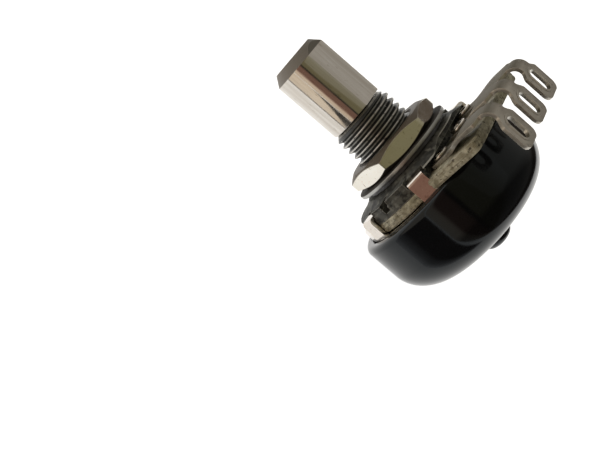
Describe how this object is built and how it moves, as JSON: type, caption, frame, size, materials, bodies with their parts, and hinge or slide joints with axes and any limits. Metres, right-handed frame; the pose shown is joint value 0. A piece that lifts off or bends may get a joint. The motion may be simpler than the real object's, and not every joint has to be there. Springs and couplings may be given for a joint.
{
  "type": "rotary potentiometer",
  "caption": "Panel-mount rotary potentiometer with a round flatted shaft, threaded bushing, hex nut, rear solder lugs and a domed black vinyl dust cap.",
  "frame": {"origin": "on the shaft axis at the panel seating face, which is the front of the plate's boss", "axes": "-Y along the shaft towards its tip, +Y towards the dust cap, +Z towards the solder lugs, +X to the right seen from the shaft's tip with the lugs up"},
  "size_m": [0.0196, 0.028, 0.0235],
  "materials": {
    "cast_zinc": "grey die-cast zinc, matte with a fine cast grain",
    "polished_steel": "drawn and polished steel",
    "spring_steel": "dark spring steel",
    "moulded_nylon": "off-white moulded nylon",
    "phosphor_bronze": "bare spring bronze",
    "nickel_plate": "bright nickel plate, slightly warm",
    "washer_steel": "zinc plated steel",
    "phenolic_board": "beige-olive paper laminate with a fibrous punched edge",
    "carbon_track": "printed carbon film",
    "silver_ink": "fired silver ink",
    "lug_plate": "dull tin plated brass, warm grey",
    "tin_plate": "bright tin plated steel",
    "black_vinyl": "glossy dip-moulded black vinyl"
  },
  "bodies": {
    "root": {"front_plate": "cast_zinc", "thrust_washer": "spring_steel", "wafer": "phenolic_board", "resistive_track": "carbon_track", "end_pad_left": "silver_ink", "end_pad_right": "silver_ink", "collector_ring": "nickel_plate", "terminal_left": "lug_plate", "terminal_centre": "lug_plate", "terminal_right": "lug_plate", "terminal_rivet_left": "tin_plate", "terminal_rivet_centre": "tin_plate", "terminal_rivet_right": "tin_plate", "rear_can": "tin_plate"},
    "rotor": {"shaft": "polished_steel", "retaining_clip": "spring_steel", "rotor_hub": "moulded_nylon", "wiper_contact": "phosphor_bronze"},
    "washers": {"flat_washer": "washer_steel", "lock_washer": "washer_steel"},
    "nut": {"hex_nut": "nickel_plate"},
    "cap": {"dust_cap": "black_vinyl"}
  },
  "joints": [
    {"name": "shaft_turn", "type": "hinge", "parent": "root", "child": "rotor", "pos_m": [0, 0, 0], "axis": [0, -1, 0], "range_deg": [-150, 150]},
    {"name": "nut_travel", "type": "slide", "parent": "root", "child": "washers", "axis": [0, -1, 0], "range_m": [0, 0.00315]},
    {"name": "nut_turn", "type": "hinge", "parent": "washers", "child": "nut", "pos_m": [0, 0, 0], "axis": [0, -1, 0], "range_deg": [0, 1515]},
    {"name": "cap_pull", "type": "slide", "parent": "root", "child": "cap", "axis": [0, 1, 0], "range_m": [0, 0.01]}
  ],
  "couplings": [
    {"joint": "nut_turn", "follows": "nut_travel", "rad_per_m": 8377.6}
  ]
}
